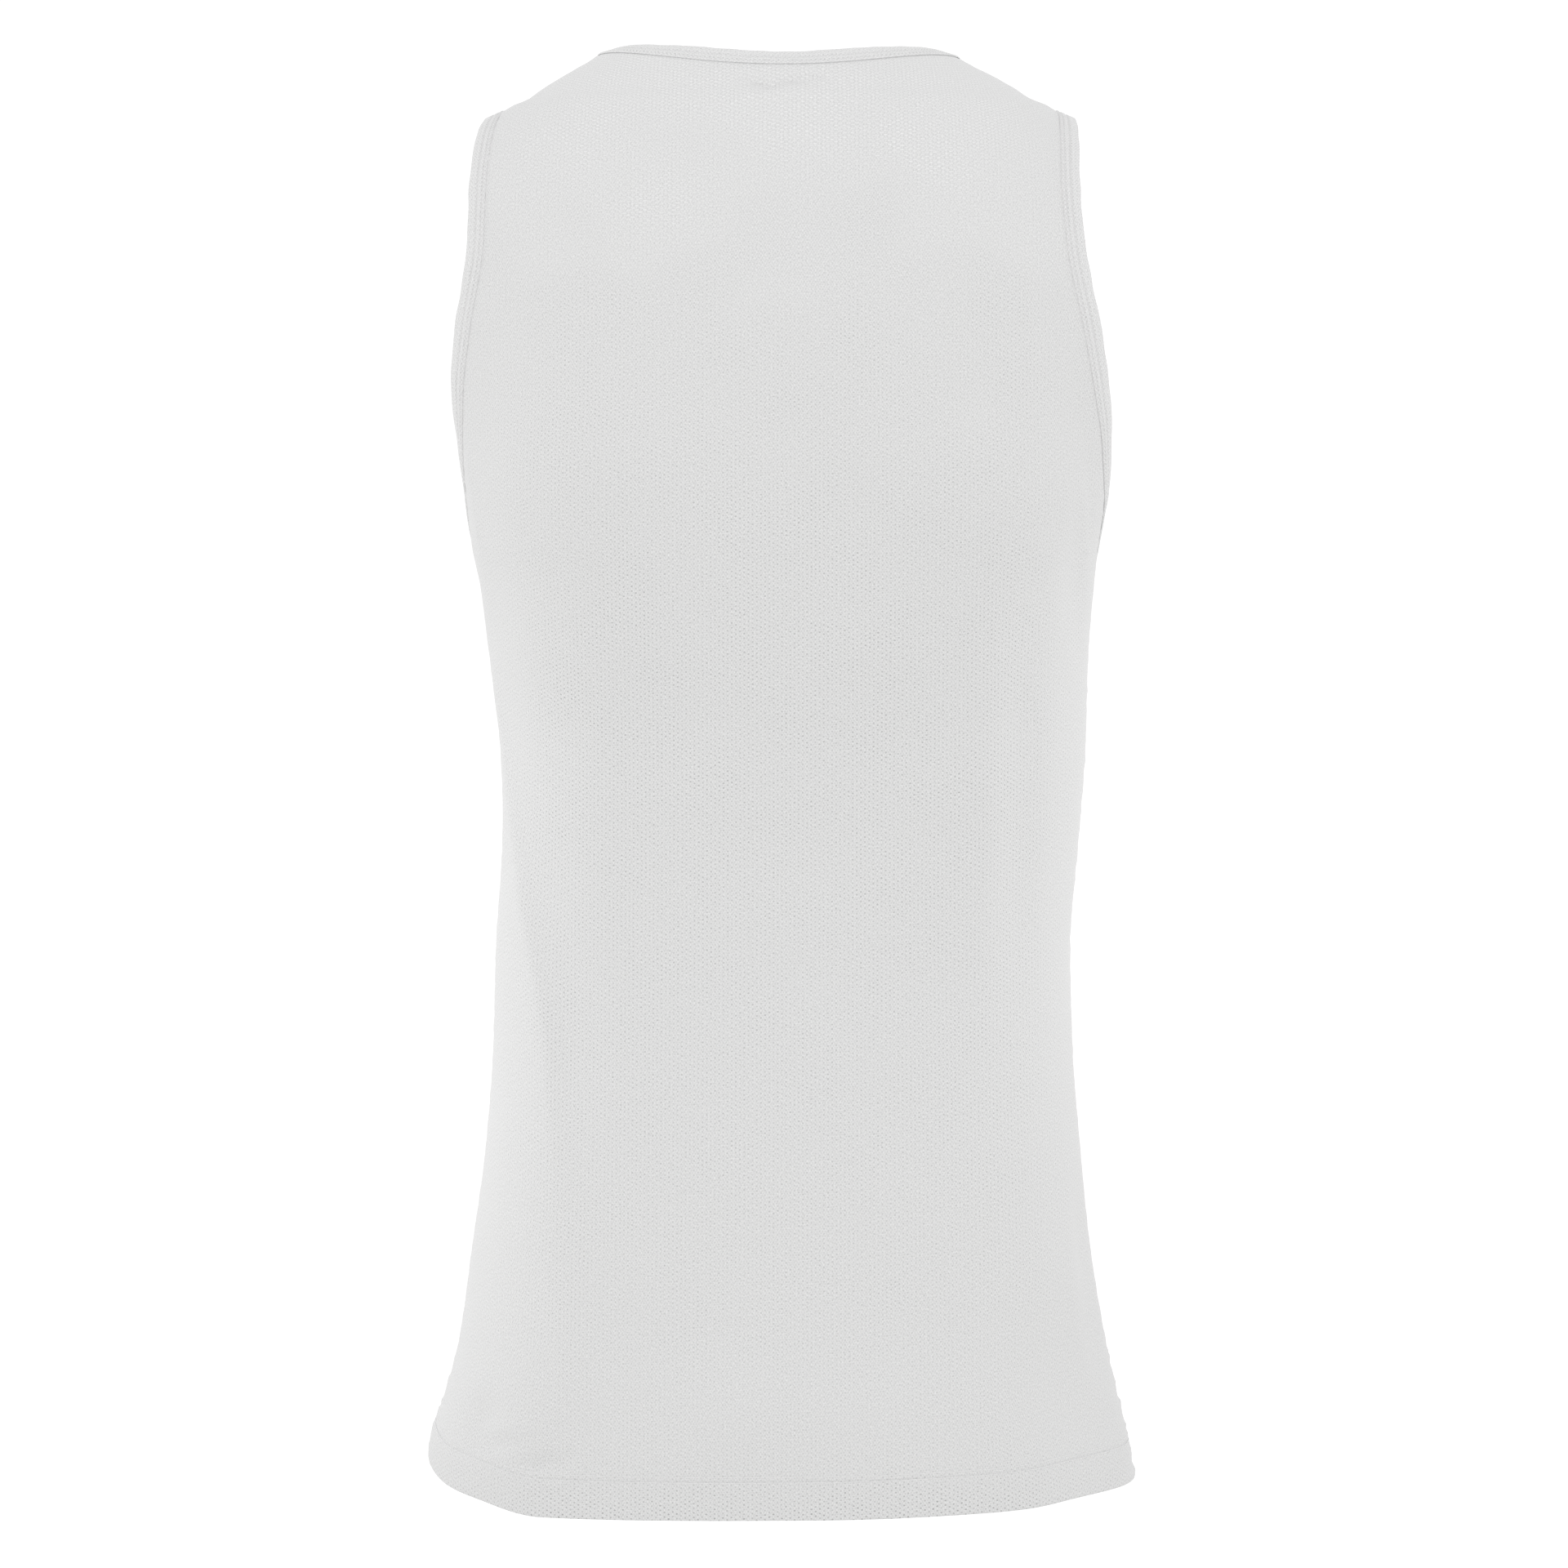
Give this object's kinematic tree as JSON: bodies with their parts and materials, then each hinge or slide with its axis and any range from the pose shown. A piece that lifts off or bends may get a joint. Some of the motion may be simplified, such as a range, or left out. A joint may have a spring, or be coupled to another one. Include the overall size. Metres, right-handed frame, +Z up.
{
  "type": "basketball jersey",
  "caption": "Sleeveless round-neck basketball jersey in plain white mesh knit, hollow and filled out as worn, with bound neck and armholes and a turned-up hem.",
  "frame": {"origin": "midway between the neck ends of the two shoulder seams, where a wearer's shoulders or a hanger carry the jersey", "axes": "+Z up, the wearer faces -Y, so the front panel lies on the -Y side and the back panel on the +Y side; +X is the wearer's left"},
  "size_m": [0.3832, 0.2477, 0.7847],
  "materials": {
    "mesh_knit": "matt white polyester knit with a staggered net of pinholes",
    "binding_knit": "matt white polyester knit, folded over the raw edge and coverstitched"
  },
  "bodies": {
    "root": {"back_panel": "mesh_knit", "front_panel": "mesh_knit", "neck_binding": "binding_knit", "armhole_binding_left": "binding_knit", "armhole_binding_right": "binding_knit"}
  },
  "joints": []
}
